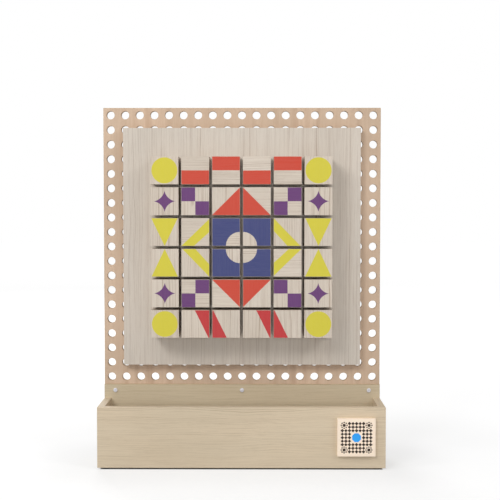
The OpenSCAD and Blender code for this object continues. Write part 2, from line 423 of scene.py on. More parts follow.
def wood(name, early, late, ring, contrast, soft=False, fibre=0.10, pores=0.25, tone=0.05,
         warp=2.2, zones=0.6, ink=None, strongest=1.9):
    """Wood: growth rings round the pith, fibres and pores along the grain, and round edges painted
    paler, partly worn by handling and partly a painted highlight.

    early and late are its pale and dark colours; ring is a year's width in mm, and contrast how
    dark its late wood is. soft blurs the years, as in a peeled veneer. fibre and pores are how
    strong those are, and tone how much the whole varies. warp is how far the rings wander, zones
    how much they fade in places, and strongest how dark the darkest year is. ink prints over it.
    """
    s = Shader(name)
    log = s.attribute("grain", "Vector")
    drift = s.noise(log, (46, 46, 190), 1.5, colour=True)
    drift = s.vector("SUBTRACT", drift, (0.5, 0.5, 0.5))
    drift = s.vector("MULTIPLY", drift, (DRIFT * warp, DRIFT * warp, 0))
    waver = s.noise(log, (7, 7, 38), 2.0, colour=True)
    waver = s.vector("SUBTRACT", waver, (0.5, 0.5, 0.5))
    waver = s.vector("MULTIPLY", waver, (WAVER * warp, WAVER * warp, 0))
    bent = s.vector("ADD", s.vector("ADD", log, drift), waver)
    radius = s.length(s.vector("MULTIPLY", bent, (1, 1, 0)))
    # The years differ in width, so the rings are unevenly spaced
    years = s.put("ShaderNodeTexNoise",
                  {"W": s.math("MULTIPLY", radius, 1 / (UNEVEN_OVER * ring)), "Scale": 1.0,
                   "Detail": 1.0}, noise_dimensions="1D").outputs[0]
    phase = s.math("ADD", s.math("DIVIDE", radius, ring), s.math("MULTIPLY", years, UNEVEN_BY))
    turn = s.math("FRACT", phase)
    # Each year darkens slowly and ends at a line
    curve = s.put("ShaderNodeValToRGB", {0: turn})
    stops = ([(0.0, 0.0), (0.5, 1.0), (1.0, 0.0)] if soft else
             [(0.0, 0.0), (0.5, 0.12), (0.78, 0.62), (0.90, 1.0), (1.0, 0.0)])
    ramp = curve.color_ramp
    ramp.interpolation = "B_SPLINE" if soft else "EASE"
    while len(ramp.elements) < len(stops):
        ramp.elements.new(0.5)
    for element, (at, value) in zip(ramp.elements, stops):
        element.position = at
        element.color = (value, value, value, 1)
    # A few years are much darker than the rest
    year = s.put("ShaderNodeTexWhiteNoise", {"W": s.math("FLOOR", phase)},
                 noise_dimensions="1D").outputs[0]
    year = s.spread(s.math("POWER", year, RARITY), 0.0, 1.0, FAINTEST, strongest)
    ring_line = s.math("MULTIPLY", curve.outputs[0], year)
    zone = s.spread(s.noise(bent, (24, 24, 210), 2.0), 0.32, 0.68, 1 - zones, 1.0)
    fibres = s.noise(bent, (0.55, 0.55, 17), 3.0, 0.6)
    streaks = s.noise(bent, (2.1, 2.1, 85), 2.0)
    dashes = s.spread(s.noise(bent, (0.28, 0.28, 3.2), 1.0), 0.60, 0.72)
    dashes = s.math("MULTIPLY", dashes, s.spread(turn, 0.35, 0.9, 0.3, 1.0))
    dark = s.math("MULTIPLY", s.math("MULTIPLY", ring_line, zone), contrast)
    dark = s.math("ADD", dark, s.math("MULTIPLY", s.math("SUBTRACT", fibres, 0.5), fibre * 3))
    dark = s.math("ADD", dark, s.math("MULTIPLY", s.math("SUBTRACT", streaks, 0.5), fibre * 3.5))
    dark = s.math("ADD", dark, s.math("MULTIPLY", dashes, pores), clamp=True)
    colour = s.mix(dark, linear(*early), linear(*late))
    # The tone changes slowly over the board, and its hue a little
    shade = s.noise(log, (95, 95, 330), 2.0)
    hue = s.noise(log, (60, 60, 240), 1.0)
    shift = s.mix(s.spread(shade, 0.3, 0.7),
                  (1 - tone * 1.5, 1 - tone * 1.6, 1 - tone * 1.9, 1),
                  (1 + tone * 0.6, 1 + tone * 0.6, 1 + tone * 0.5, 1))
    colour = s.mix(1.0, colour, shift, "MULTIPLY")
    colour = s.mix(s.spread(hue, 0.35, 0.65, 0.0, 0.22), colour,
                   s.mix(1.0, colour, (1.04, 0.985, 0.94, 1), "MULTIPLY"))
    height = s.math("SUBTRACT", s.math("MULTIPLY", fibres, 0.5), s.math("MULTIPLY", dashes, 0.6))
    height = s.math("SUBTRACT", height, s.math("MULTIPLY", ring_line, 0.25))
    gloss = s.math("ADD", s.math("MULTIPLY", fibres, 0.6), s.math("MULTIPLY", shade, 0.4))
    gloss = s.spread(gloss, 0.3, 0.7, WOOD_ROUGH - 0.06, WOOD_ROUGH + 0.08)
    strength, shine = BARE_RELIEF, BARE_SHINE
    if ink is not None:
        # The ink is matte. It is thinner on the hard fibres, and a little specked
        hard = s.math("ADD", s.math("MULTIPLY", fibres, 0.7), s.math("MULTIPLY", streaks, 0.3))
        cover = s.spread(hard, 0.34, 0.66, INK_COVER - 0.03, min(1.0, INK_COVER + 0.03))
        speck = s.noise(log, (0.9, 0.9, 2.5), 3.0, 0.7)
        film = s.mix(s.spread(speck, 0.35, 0.7, 0.0, INK_SPECK), linear(*ink),
                     linear(*(0.86 * c for c in ink)))
        colour = s.mix(cover, colour, film)
        gloss = s.spread(speck, 0.3, 0.7, WOOD_ROUGH + 0.02, WOOD_ROUGH + 0.12)
        strength, shine = INK_RELIEF, INK_SHINE
    # The round edges are painted paler: partly worn pale by handling, partly a painted highlight
    wear_and_highlight_noise = s.spread(s.noise(log, (3, 3, 11), 3.0), 0.35, 0.65, 0.10, 0.55)
    wear_and_highlight_mix = s.math("MULTIPLY", s.attribute("wear", "Fac"), wear_and_highlight_noise)
    colour = s.mix(wear_and_highlight_mix, colour, linear(*(min(255, 6 + 1.03 * c) for c in early)))
    return s.finish(colour, gloss, (height, 0.06, strength), Specular_IOR_Level=shine)


def ply_edge(name, pale, mid, glue, thick, plies):
    """The edge of plywood: plies that run along and across in turn, with thin dark glue lines."""
    s = Shader(name)
    place = s.place_mm()
    # The layer that a point lies in, from its depth in the board
    depth = s.math("ADD", s.attribute("ply", "Fac"), thick / 2)
    sway = s.math("SUBTRACT", s.noise(place, (30, 2, 30), 2.0), 0.5)
    sway = s.math("MULTIPLY", sway, 0.35)
    layer = s.math("MULTIPLY", s.math("ADD", depth, sway), plies / thick)
    turn = s.math("FRACT", layer)
    odd = s.math("FRACT", s.math("MULTIPLY", s.math("FLOOR", layer), 0.5))
    odd = s.math("GREATER_THAN", odd, 0.25)
    line = s.math("MULTIPLY", s.math("ABSOLUTE", s.math("SUBTRACT", turn, 0.5)), 2.0)
    line = s.spread(line, 0.84, 0.98)
    fine = s.noise(place, (0.35, 0.35, 0.35), 3.0, 0.65)
    along = s.noise(place, (9, 0.3, 9), 3.0, 0.6)
    end_grain = s.mix(s.spread(fine, 0.35, 0.68), linear(*mid), linear(*(0.78 * c for c in mid)))
    long_grain = s.mix(s.spread(along, 0.35, 0.65), linear(*pale),
                       linear(*(0.9 * c for c in pale)))
    colour = s.mix(odd, long_grain, end_grain)
    broken = s.spread(s.noise(place, (14, 1.3, 14), 3.0), 0.35, 0.62, 0.35, 0.9)
    colour = s.mix(s.math("MULTIPLY", line, broken), colour, linear(*glue))
    # Gaps in the core are sunk by the bump and painted darker, a painted shade of their hollows
    gaps = s.spread(s.noise(place, (5, 0.9, 5), 2.0, 0.7), 0.68, 0.76)
    colour = s.mix(s.math("MULTIPLY", gaps, 0.55), colour, linear(*(0.5 * c for c in mid)))
    sunk = s.math("MULTIPLY", s.math("ADD", line, gaps), 0.5)
    height = s.math("SUBTRACT", s.math("MULTIPLY", fine, 0.6), sunk)
    gloss = s.spread(fine, 0.3, 0.7, 0.62, 0.76)
    return s.finish(colour, gloss, (height, 0.10, 0.5), Specular_IOR_Level=BARE_SHINE)


def metal(name, tint, rough, brushed=(0.4, 0.4, 0.4), dirt=0.25, metallic=1.0):
    """Plated or lacquered steel with fine scratches, dull blotches and a little grime."""
    s = Shader(name)
    place = s.place_mm()
    scratch = s.noise(place, brushed, 4.0, 0.7)
    blotch = s.noise(place, (5, 5, 5), 3.0, 0.6)
    specks = s.spread(s.noise(place, (0.7, 0.7, 0.7), 2.0), 0.62, 0.72)
    colour = s.mix(s.spread(blotch, 0.35, 0.65, 0.0, dirt), linear(*tint),
                   linear(*(0.72 * c for c in tint)))
    colour = s.mix(s.math("MULTIPLY", specks, 0.3), colour, linear(*(0.5 * c for c in tint)))
    gloss = s.math("ADD", s.math("MULTIPLY", scratch, 0.6), s.math("MULTIPLY", blotch, 0.4))
    gloss = s.spread(gloss, 0.3, 0.7, rough - 0.08, rough + 0.12)
    return s.finish(colour, gloss, (scratch, 0.02, 0.35), Metallic=metallic)


DUST = (150, 146, 138)


def moulded(name, tint, rough, grain_mm=0.8, depth=0.05):
    """Moulded plastic or rubber with a fine grained skin, dust and slight mottling."""
    s = Shader(name)
    place = s.place_mm()
    cells = s.vector("MULTIPLY", place, [1 / grain_mm] * 3)
    cells = s.put("ShaderNodeTexVoronoi", {"Vector": cells, "Scale": 1.0}).outputs[0]
    blotch = s.noise(place, (7, 7, 7), 3.0, 0.6)
    dust = s.spread(s.noise(place, (1.6, 1.6, 1.6), 4.0, 0.7), 0.5, 0.75)
    colour = s.mix(s.spread(blotch, 0.3, 0.7), linear(*tint),
                   linear(*(min(255, 1.25 * c + 4) for c in tint)))
    colour = s.mix(s.math("MULTIPLY", dust, 0.18), colour, linear(*DUST))
    gloss = s.spread(blotch, 0.3, 0.7, rough - 0.06, rough + 0.08)
    return s.finish(colour, gloss, (cells, depth, 0.5))


# Colours are 0 to 255. A plywood edge has its thickness in mm and its number of plies
BLOCK_EARLY, BLOCK_LATE = (210, 199, 186), (154, 130, 110)
INKS = {
    "yellow": (210, 199, 66),
    "red": (202, 74, 57),
    "dark_red": (191, 58, 61),
    "purple": (105, 63, 116),
    "blue": (66, 73, 122),
}
BLOCK_GRAIN = {"ring": 3.6, "contrast": 0.74, "warp": 1.3}
block_wood = wood("block_wood", BLOCK_EARLY, BLOCK_LATE, tone=0.06, fibre=0.18, strongest=1.5,
                  **BLOCK_GRAIN)
block_ink = {key: wood("ink_" + key, BLOCK_EARLY, BLOCK_LATE, ink=tint, **BLOCK_GRAIN)
             for key, tint in INKS.items()}
board_wood = wood("board_wood", (208, 199, 188), (158, 137, 122), ring=2.4, contrast=0.72,
                  fibre=0.19, warp=1.3, zones=0.85)
core_edge = ply_edge("core_edge", (206, 186, 156), (176, 148, 116), (120, 92, 68), 14.0, 9)
panel_wood = wood("panel_wood", (208, 183, 160), (174, 143, 118), ring=13.0, contrast=0.52,
                  soft=True, fibre=0.12, pores=0.16, warp=2.0, tone=0.10, zones=0.5)
panel_edge = ply_edge("panel_edge", (214, 186, 152), (180, 146, 112), (112, 80, 56), 12.0, 9)
bin_wood = wood("bin_wood", (211, 195, 170), (162, 140, 112), ring=2.8, contrast=0.56, warp=1.9,
                fibre=0.18, pores=0.24, tone=0.045, strongest=1.7)
back_plate_wood = wood("back_plate_wood", (202, 187, 160), (154, 136, 108), ring=3.0,
                       contrast=0.56, fibre=0.18, pores=0.20, warp=1.6, strongest=1.7)
back_plate_edge = ply_edge("back_plate_edge", (208, 186, 150), (176, 148, 112), (120, 92, 66),
                           5.5, 3)
PLATE_EARLY, PLATE_LATE = (252, 234, 214), (226, 200, 172)
PLATE_GRAIN = {"ring": 3.0, "contrast": 0.35, "warp": 1.0}
plate_wood = wood("plate_wood", PLATE_EARLY, PLATE_LATE, fibre=0.08, pores=0.10, **PLATE_GRAIN)
plate_dark = wood("plate_dark", PLATE_EARLY, PLATE_LATE, ink=(56, 42, 34), **PLATE_GRAIN)
plate_blue = wood("plate_blue", PLATE_EARLY, PLATE_LATE, ink=(34, 164, 250), **PLATE_GRAIN)
dowel_wood = wood("dowel_wood", (208, 180, 144), (170, 134, 98), ring=2.0, contrast=0.5,
                  pores=0.2)
screw_steel = metal("screw_steel", (226, 226, 233), 0.60, dirt=0.10, metallic=0.3)
sheet_steel = metal("sheet_steel", (176, 180, 182), 0.42, brushed=(0.3, 0.3, 30))
magnet_nickel = metal("magnet_nickel", (214, 212, 206), 0.18)
bush_plastic = moulded("bush_plastic", (46, 46, 48), 0.46)
pad_rubber = moulded("pad_rubber", (34, 33, 32), 0.72, grain_mm=1.1, depth=0.09)


# ---------------------------------------------------------------- boards

def box_mm(node):
    """The lowest and highest corners of a CAD node, in millimetres."""
    low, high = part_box(node)
    return low / MM, high / MM


def board(name, node, axis, materials, grain, slot, **shape):
    """A slab that fills a CAD node's box."""
    low, high = box_mm(node)
    right, up, front = BOARD_AXES[axis]
    span = high - low
    size = [abs(span.dot(d)) for d in (right, up, front)]
    form = slab(size, **shape)
    form.piece(name, (right, up, front), (low + high) / 2, materials, grain, "stand", [node],
               slot)


def places_on(node, spots):
    """Places in the row frame, as (u, v) from the middle of an upright board."""
    low, high = box_mm(node)
    middle = (low + high) / 2
    return [(x - middle.x, z - middle.z) for x, z in spots]


panel_low, panel_high = box_mm("perforated_panel")
face_low, face_high = box_mm("board_face")
FIELD = (face_low + face_high) / 2
HOLES_A_SIDE = 19
HOLE_PITCH = (panel_high.x - panel_low.x) / HOLES_A_SIDE
HOLE_D = 17.5
reach = (HOLES_A_SIDE - 1) / 2
field_spots = [(FIELD.x + (i - reach) * HOLE_PITCH, FIELD.z + (k - reach) * HOLE_PITCH)
               for k in range(HOLES_A_SIDE) for i in range(HOLES_A_SIDE)]
floor_low, floor_high = box_mm("bin_floor")
BASE_SCREW_REACH = 200
BASE_SCREW_SPOTS = [(x, (floor_low.z + floor_high.z) / 2)
                    for x in (-BASE_SCREW_REACH, 0, BASE_SCREW_REACH)]
# The sunk place of a base screw's head in the panel's back: its radius and depth
SINK_R, SINK_DEPTH = 4.1, 2.6

board("perforated_panel_board", "perforated_panel", "y", [panel_wood, panel_edge],
      Grain("panel", Z, tilted(-Y, X, 12), 150), "panel_plywood",
      rim=0.8, steps=2, slots=(0, 0, 1),
      holes=[(u, v, HOLE_D / 2) for u, v in places_on("perforated_panel", field_spots)],
      pits=[(u, v, SINK_R, SINK_DEPTH)
            for u, v in places_on("perforated_panel", BASE_SCREW_SPOTS)])
board("board_face_board", "board_face", "y", [board_wood],
      Grain("face", Z, tilted(X, -Y, 20), 420), "board_wood")
board("board_core_board", "board_core", "y", [core_edge], Grain("core", Z, -Y), "core_wood",
      rim=0.4, steps=2)
board("bin_front_board", "bin_front", "y", [bin_wood],
      Grain("bin_front", X, tilted(Z, -Y, 24), 300), "bin_wood")
board("bin_side_left_board", "bin_side_left", "x", [bin_wood],
      Grain("bin_left", Y, tilted(Z, -X, 24), 300), "bin_wood")
board("bin_side_right_board", "bin_side_right", "x", [bin_wood],
      Grain("bin_right", Y, tilted(Z, X, 28), 300), "bin_wood")
board("bin_floor_board", "bin_floor", "z", [bin_wood],
      Grain("bin_floor", X, tilted(Z, Y, 10), 90), "bin_wood", steps=2)
board("bin_back_plate_board", "bin_back_plate", "y", [back_plate_wood, back_plate_edge],
      Grain("back_plate", X, tilted(Z, -Y, 26), 260), "back_plate_wood",
      steps=2, slots=(0, 0, 1))


# ---------------------------------------------------------------- the small plate

# The side of the sampler in mm, and its cells from the middle one outwards
SAMPLER, HALF_CELLS = 66.0, 4
DARK, BLUE = 1, 2
# Its shapes, and their sizes in cells
DIAMOND, DIAMOND_SIZE = [(1, 0), (0, 1), (-1, 0), (0, -1)], 0.49
ARM, CROSS_SIZE = 0.44, 0.46
CROSS = [(1, -ARM), (1, ARM), (ARM, ARM), (ARM, 1), (-ARM, 1), (-ARM, ARM), (-1, ARM),
         (-1, -ARM), (-ARM, -ARM), (-ARM, -1), (ARM, -1), (ARM, -ARM)]
OCTAGON = [(math.cos(math.radians(22.5 + 45 * k)), math.sin(math.radians(22.5 + 45 * k)))
           for k in range(8)]
ROSETTE_HEART, SPOT_SIZE = 0.48, 1.35
PETAL = ((0.56, 0.0), (0.84, -0.29), (1.04, 0.0), (0.84, 0.29))


def plate_pattern():
    """A stitch sampler: crosses and diamonds round a plain octagon, a rosette in each corner."""
    cell = SAMPLER / (2 * HALF_CELLS + 1)
    areas = []

    def put(shape, u, v, size, ink=DARK):
        areas.append(([((u + size * x) * cell, (v + size * y) * cell) for x, y in shape], ink))

    for i in range(-HALF_CELLS, HALF_CELLS + 1):
        for k in range(-HALF_CELLS, HALF_CELLS + 1):
            far, near = max(abs(i), abs(k)), min(abs(i), abs(k))
            if far < 2 or near >= HALF_CELLS - 1:
                continue
            if (far + near) % 2:
                put(DIAMOND, i, k, DIAMOND_SIZE)
            else:
                put(CROSS, i, k, CROSS_SIZE)
    for u in (-1, 1):
        for v in (-1, 1):
            middle = (u * (HALF_CELLS - 0.5), v * (HALF_CELLS - 0.5))
            put(OCTAGON, *middle, ROSETTE_HEART)
            for k in range(8):
                a = math.radians(45 * k)
                put([(math.cos(a) * r - math.sin(a) * t, math.sin(a) * r + math.cos(a) * t)
                     for r, t in PETAL], *middle, 1.0)
    put(OCTAGON, 0, 0, SPOT_SIZE, BLUE)
    return areas


board("info_plate_board", "info_plate", "y", [plate_wood, plate_dark, plate_blue],
      Grain("plate", X, tilted(Z, -Y, 15), 120), "plate_wood", rim=0.5, prints=plate_pattern())


# ---------------------------------------------------------------- the blocks

def arc_points(cx, cy, radius, start, stop, steps):
    """Points on an arc, from one angle in degrees to another."""
    angles = [math.radians(start + (stop - start) * i / steps) for i in range(steps + 1)]
    return [(cx + radius * math.cos(a), cy + radius * math.sin(a)) for a in angles]


def star_points(tip, waist):
    """Four tips joined by arcs that bend inwards. Each arc runs through (waist, waist)."""
    centre = (tip * tip - 2 * waist * waist) / (2 * tip - 4 * waist)
    radius = math.sqrt(2) * (centre - waist)
    half = math.degrees(math.asin((centre - tip) / radius))
    arc = arc_points(centre, centre, radius, 270 - half, 180 + half, STAR_STEPS)[:-1]
    points = []
    for quarter in range(4):
        a = math.radians(90 * quarter)
        points += [(x * math.cos(a) - y * math.sin(a), x * math.sin(a) + y * math.cos(a))
                   for x, y in arc]
    return points


# Each print in units of the block's edge, from its middle: its ink, its outlines, and whether the
# wood under it has upright grain (1) or level grain (0)
H = 0.5
CIRCLE_STEPS, ARCH_STEPS, STAR_STEPS = 72, 24, 10
CIRCLE_R, ARCH_R = 0.464, 0.505
# The two squares of the check stay this far from the middle lines
APART = 0.001
PRINTS = {
    "circle": ("yellow", [arc_points(0, 0, CIRCLE_R, 0, 360, CIRCLE_STEPS)[:-1]], 1),
    "half": ("red", [[(-H, -H), (H, -H), (H, 0), (-H, 0)]], 0),
    "star": ("purple", [star_points(tip=0.382, waist=0.131)], 1),
    "check": ("purple", [[(-H, -H), (-APART, -H), (-APART, -APART), (-H, -APART)],
                         [(APART, APART), (H, APART), (H, H), (APART, H)]], 0),
    "wedge": ("red", [[(-H, -H), (H, -H), (-H, H)]], 0),
    "peak": ("yellow", [[(-0.475, -H), (0.475, -H), (0, H)]], 1),
    "band": ("yellow", [[(-H, -H), (-0.05, -H), (H, 0), (H, 0.47)]], 0),
    "arch": ("blue", [[(-H, -H), (H - ARCH_R, -H)]
                      + arc_points(H, -H, ARCH_R, 179.4, 90.6, ARCH_STEPS)
                      + [(H, ARCH_R - H), (H, H), (-H, H)]], 0),
    "slim": ("dark_red", [[(-0.025, H), (0.47, -H), (H, -H), (H, H)]], 1),
}
# The design of each block, and how many quarters it is turned anticlockwise
LAYOUT = [
    ["circle 0", "half 0", "half 2", "half 0", "half 2", "circle 0"],
    ["star 0", "check 1", "wedge 1", "wedge 0", "check 0", "star 0"],
    ["peak 2", "band 0", "arch 0", "arch 3", "band 3", "peak 2"],
    ["peak 0", "band 1", "arch 1", "arch 2", "band 2", "peak 0"],
    ["star 0", "check 0", "wedge 2", "wedge 3", "check 1", "star 0"],
    ["circle 0", "slim 0", "slim 2", "slim 0", "slim 2", "circle 0"],
]
# The small round on a cube's edges, and how far short of it a print stops
BLOCK_RIM, PRINT_MARGIN = 0.35, 0.02
# How far a print may be off, in degrees and millimetres
PRINT_SKEW, PRINT_SLIP = 0.25, 0.2
PRINT = 1
MAGNET_D, MAGNET_T, MAGNET_ROUND, MAGNET_STEPS = 15.0, 5.0, 0.3, 32
# The depth of a magnet's hole, and the glue round it and under it
MAGNET_SEAT, MAGNET_GLUE = 5.2, 0.1


def clipped(area, limit):
    """An outline cut off at a square."""
    for axis, sign in ((0, 1), (0, -1), (1, 1), (1, -1)):
        kept = []
        for a, b in zip(area, area[1:] + area[:1]):
            da, db = limit - sign * a[axis], limit - sign * b[axis]
            if da >= 0:
                kept.append(a)
            if da * db < 0:
                t = da / (da - db)
                kept.append((a[0] + t * (b[0] - a[0]), a[1] + t * (b[1] - a[1])))
        area = kept
    return [p for i, p in enumerate(area) if math.dist(p, area[i - 1]) > 1e-4]


def make_block(row, col):
    """A printed cube with its magnet. Row 1 is the top row, and column 1 the left one."""
    node = f"block_r{row}c{col}"
    design, turns = LAYOUT[row - 1][col - 1].split()
    tint, areas, upright = PRINTS[design]
    turns = int(turns)
    low, high = box_mm(node)
    edge = high.x - low.x
    draw = random.Random(node)
    skew = math.radians(90 * turns + draw.uniform(-PRINT_SKEW, PRINT_SKEW))
    slip = (draw.uniform(-PRINT_SLIP, PRINT_SLIP), draw.uniform(-PRINT_SLIP, PRINT_SLIP))
    limit = edge / 2 - BLOCK_RIM - PRINT_MARGIN
    prints = []
    for area in areas:
        moved = [(edge * (x * math.cos(skew) - y * math.sin(skew)) + slip[0],
                  edge * (x * math.sin(skew) + y * math.cos(skew)) + slip[1]) for x, y in area]
        prints.append((clipped(moved, limit), PRINT))
    vertical = (upright + turns) % 2 == 1
    along, across = (Z, X) if vertical else (X, Z)
    grain = Grain(node, along, tilted(across * draw.choice((-1, 1)), -Y, draw.uniform(-38, 38)),
                  draw.uniform(60, 150))
    form = slab((edge, high.z - low.z, high.y - low.y), rim=BLOCK_RIM, prints=prints,
                pits=[(0, 0, MAGNET_D / 2 + MAGNET_GLUE, MAGNET_SEAT)])
    middle = (low + high) / 2
    form.piece(node + "_cube", BOARD_AXES["y"], middle, [block_wood, block_ink[tint]], grain,
               node, [node], "block_wood")
    straight = MAGNET_D / 2 - MAGNET_ROUND
    magnet = lathe([(0, 0)] + bend(straight, -MAGNET_ROUND, MAGNET_ROUND, 90, 0, 3)
                   + bend(straight, MAGNET_ROUND - MAGNET_T, MAGNET_ROUND, 0, -90, 3)
                   + [(0, -MAGNET_T)], MAGNET_STEPS)
    seat = Vector((middle.x, high.y - MAGNET_SEAT + MAGNET_GLUE, middle.z))
    magnet.piece(node + "_magnet", BOARD_AXES["y"], seat, [magnet_nickel], grain,
                 node, [node], "block_wood")


for row in range(1, 7):
    for col in range(1, 7):
        make_block(row, col)


# ---------------------------------------------------------------- small parts

def add_turned(name, outline, axes, place, material, node, slot, steps=TURNED_STEPS):
    """A turned piece of the stand."""
    grain = Grain(name, axes[2], axes[0], 20)
    form = lathe(outline, steps)
    form.piece(name, axes, Vector(place), [material], grain, "stand", [node], slot)


PAD_TOP_ROUND, PAD_FOOT_ROUND = 0.3, 0.8
# The shallow hollow under a pad: its depth, and its radius at its edge and inside, in pad radii
PAD_HOLLOW, HOLLOW_OUT, HOLLOW_IN = 0.35, 0.62, 0.58
for side in ("front_left", "front_right", "rear_left", "rear_right"):
    node = "pad_" + side
    low, high = box_mm(node)
    r, t = (high.x - low.x) / 2, high.z - low.z
    outline = ([(0, 0), (r - PAD_TOP_ROUND, 0)]
               + bend(r - PAD_TOP_ROUND, -PAD_TOP_ROUND, PAD_TOP_ROUND, 90, 0, 3)
               + bend(r - PAD_FOOT_ROUND, PAD_FOOT_ROUND - t, PAD_FOOT_ROUND, 0, -90, 4)
               + [(r * HOLLOW_OUT, -t), (r * HOLLOW_IN, PAD_HOLLOW - t), (0, PAD_HOLLOW - t)])
    add_turned(node + "_disc", outline, BOARD_AXES["z"],
               ((low.x + high.x) / 2, (low.y + high.y) / 2, high.z), pad_rubber, node,
               "pad_rubber")

TO_REAR = (Vector((-1, 0, 0)), Z, Y)
bush_low, bush_high = box_mm("board_bushes")
BUSH_FLANGE_R, BUSH_FLANGE_T = 14.0, 3.0
BUSH_BARREL_R, BUSH_LENGTH = HOLE_D / 2 - 0.1, 14.5
BUSH_BORE_R, BUSH_STEPS = 2.55, 48
BUSH_REACH = (bush_high.x - bush_low.x) / 2 - BUSH_FLANGE_R
bush_spots = [(FIELD.x + i * BUSH_REACH, FIELD.z + k * BUSH_REACH)
              for k in (-1, 0, 1) for i in (-1, 0, 1) if (i, k) != (0, 0)]
for number, (x, z) in enumerate(bush_spots, 1):
    # Up the bore, over the flange with its groove and its rounds, and down the barrel
    outline = ([(BUSH_BORE_R, -BUSH_LENGTH), (BUSH_BORE_R, -0.4)]
               + bend(BUSH_BORE_R + 0.4, -0.4, 0.4, 180, 90, 3)
               + [(7.2, 0), (7.6, -0.35), (8.0, 0)]
               + bend(BUSH_FLANGE_R - 0.9, -0.9, 0.9, 90, 0, 5)
               + bend(BUSH_FLANGE_R - 0.2, 0.2 - BUSH_FLANGE_T, 0.2, 0, -90, 2)
               + [(BUSH_BARREL_R, -BUSH_FLANGE_T), (BUSH_BARREL_R, 0.6 - BUSH_LENGTH)]
               + bend(BUSH_BARREL_R - 0.6, 0.6 - BUSH_LENGTH, 0.6, 0, -90, 2)
               + [(BUSH_BORE_R, -BUSH_LENGTH)])
    add_turned(f"board_bush_{number}", outline, TO_REAR, (x, bush_high.y, z), bush_plastic,
               "board_bushes", "bush_plastic", BUSH_STEPS)


def screw_form(head_d, head_h, shank_d, length):
    """A screw with its head's underside at z = 0, or its top where the head has no height."""
    r = head_d / 2
    if head_h == 0:
        rim = 0.25
        outline = [(0, 0), (r - 0.15, 0), (r, -0.12), (r, -rim),
                   (shank_d / 2, -(r - shank_d / 2) - rim)]
    else:
        turn = head_h * 0.5
        outline = ([(0, head_h), ((r - turn) * 0.5, head_h - 0.03), (r - turn, head_h - 0.12)]
                   + bend(r - turn, head_h - 0.12 - turn, turn, 75, 0, 6)
                   + [(r, 0.15), (r - 0.15, 0.0), (shank_d / 2, 0.0)])
    # The thread is a row of rings
    pitch, core_r = shank_d * 0.42, shank_d / 2 * 0.72
    z = outline[-1][1] - pitch
    while z > shank_d * 1.3 - length:
        outline += [(shank_d / 2, z), (core_r, z - pitch * 0.45), (core_r, z - pitch * 0.6)]
        z -= pitch
    outline += [(shank_d / 2 * 0.7, shank_d - length), (0, -length)]
    return lathe(outline)


def cut_cross(thing, head_d, top, axes, place):
    """Cuts the driver's cross out of a screw's head."""
    right, up, front = axes
    made = bmesh.new()
    deep, wide = head_d * 0.17, head_d * 0.065
    # The height, half length and half width of a slot's open end and of its bottom
    ends = ((top + 0.5, head_d * 0.29, wide * 1.2), (top - deep, head_d * 0.17, wide * 0.8))
    for a, b in ((right, up), (up, right)):
        points = []
        for z, long_r, half_w in ends:
            corners = [place + front * z + a * (long_r * i) + b * (half_w * k)
                       for i, k in ((-1, -1), (1, -1), (1, 1), (-1, 1))]
            points.append([made.verts.new(corner * MM) for corner in corners])
        upper, lower = points
        made.faces.new(upper)
        made.faces.new(lower[::-1])
        for i in range(4):
            made.faces.new((upper[i], lower[i], lower[(i + 1) % 4], upper[(i + 1) % 4]))
    bmesh.ops.recalc_face_normals(made, faces=made.faces)
    mesh = bpy.data.meshes.new("cross")
    made.to_mesh(mesh)
    made.free()
    tool = bpy.data.objects.new("cross", mesh)
    bpy.context.collection.objects.link(tool)
    cut = thing.modifiers.new("cross", "BOOLEAN")
    cut.operation, cut.solver, cut.object, cut.use_self = "DIFFERENCE", "EXACT", tool, True
    bpy.context.view_layer.update()
    finished = thing.evaluated_get(bpy.context.evaluated_depsgraph_get())
    result = bpy.data.meshes.new_from_object(finished)
    thing.modifiers.clear()
    old = thing.data
    thing.data = result
    bpy.data.meshes.remove(old)
    bpy.data.objects.remove(tool)


def add_screw(name, node, spot, axes, sizes):
    """A cross-head screw of the stand, turned at random."""
    head_d, head_h, shank_d, length = sizes
    grain = Grain(name, axes[2], axes[0], 20)
    form = screw_form(head_d, head_h, shank_d, length)
    turn = math.radians(random.Random(name).uniform(0, 90))
    right, up, front = axes
    spun = (right * math.cos(turn) + up * math.sin(turn),
            up * math.cos(turn) - right * math.sin(turn), front)
    thing = form.piece(name, spun, Vector(spot), [screw_steel], grain, "stand", [node],
                       "screw_steel")
    cut_cross(thing, head_d, head_h, spun, Vector(spot))


# Head diameter and height (none where it is sunk flush), shank diameter, and length below z = 0
FLANGE_SCREW = (9.0, 2.6, 4.0, 15.5)
BOARD_SCREW = (10.0, 2.8, 5.0, 25.0)
BASE_SCREW = (8.0, 0.0, 4.0, 38.0)
lap_front = box_mm("bin_back_plate")[0].y
flange_low, flange_high = box_mm("flange_screws")
flange_x = flange_high.x - FLANGE_SCREW[0] / 2
flange_z = (flange_low.z + flange_high.z) / 2
for number, x in enumerate((-flange_x, 0, flange_x), 1):
    add_screw(f"flange_screw_{number}", "flange_screws", (x, lap_front, flange_z),
              BOARD_AXES["y"], FLANGE_SCREW)
for number, (x, z) in enumerate(bush_spots, 1):
    add_screw(f"board_screw_{number}", "board_screws", (x, bush_high.y, z), TO_REAR, BOARD_SCREW)
for number, (x, z) in enumerate(BASE_SCREW_SPOTS, 1):
    add_screw(f"base_screw_{number}", "base_screws", (x, panel_high.y, z), TO_REAR, BASE_SCREW)

# Pieces that are out of sight keep their CAD shape
for node, material in (("board_steel_sheet", sheet_steel), ("back_plate_screws", screw_steel),
                       ("front_dowels", dowel_wood), ("floor_dowels", dowel_wood),
                       ("info_plate_pins", dowel_wood)):
    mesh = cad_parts[node].data
    mesh.materials.clear()
    mesh.materials.append(material)


# ---------------------------------------------------------------- stage, light and camera

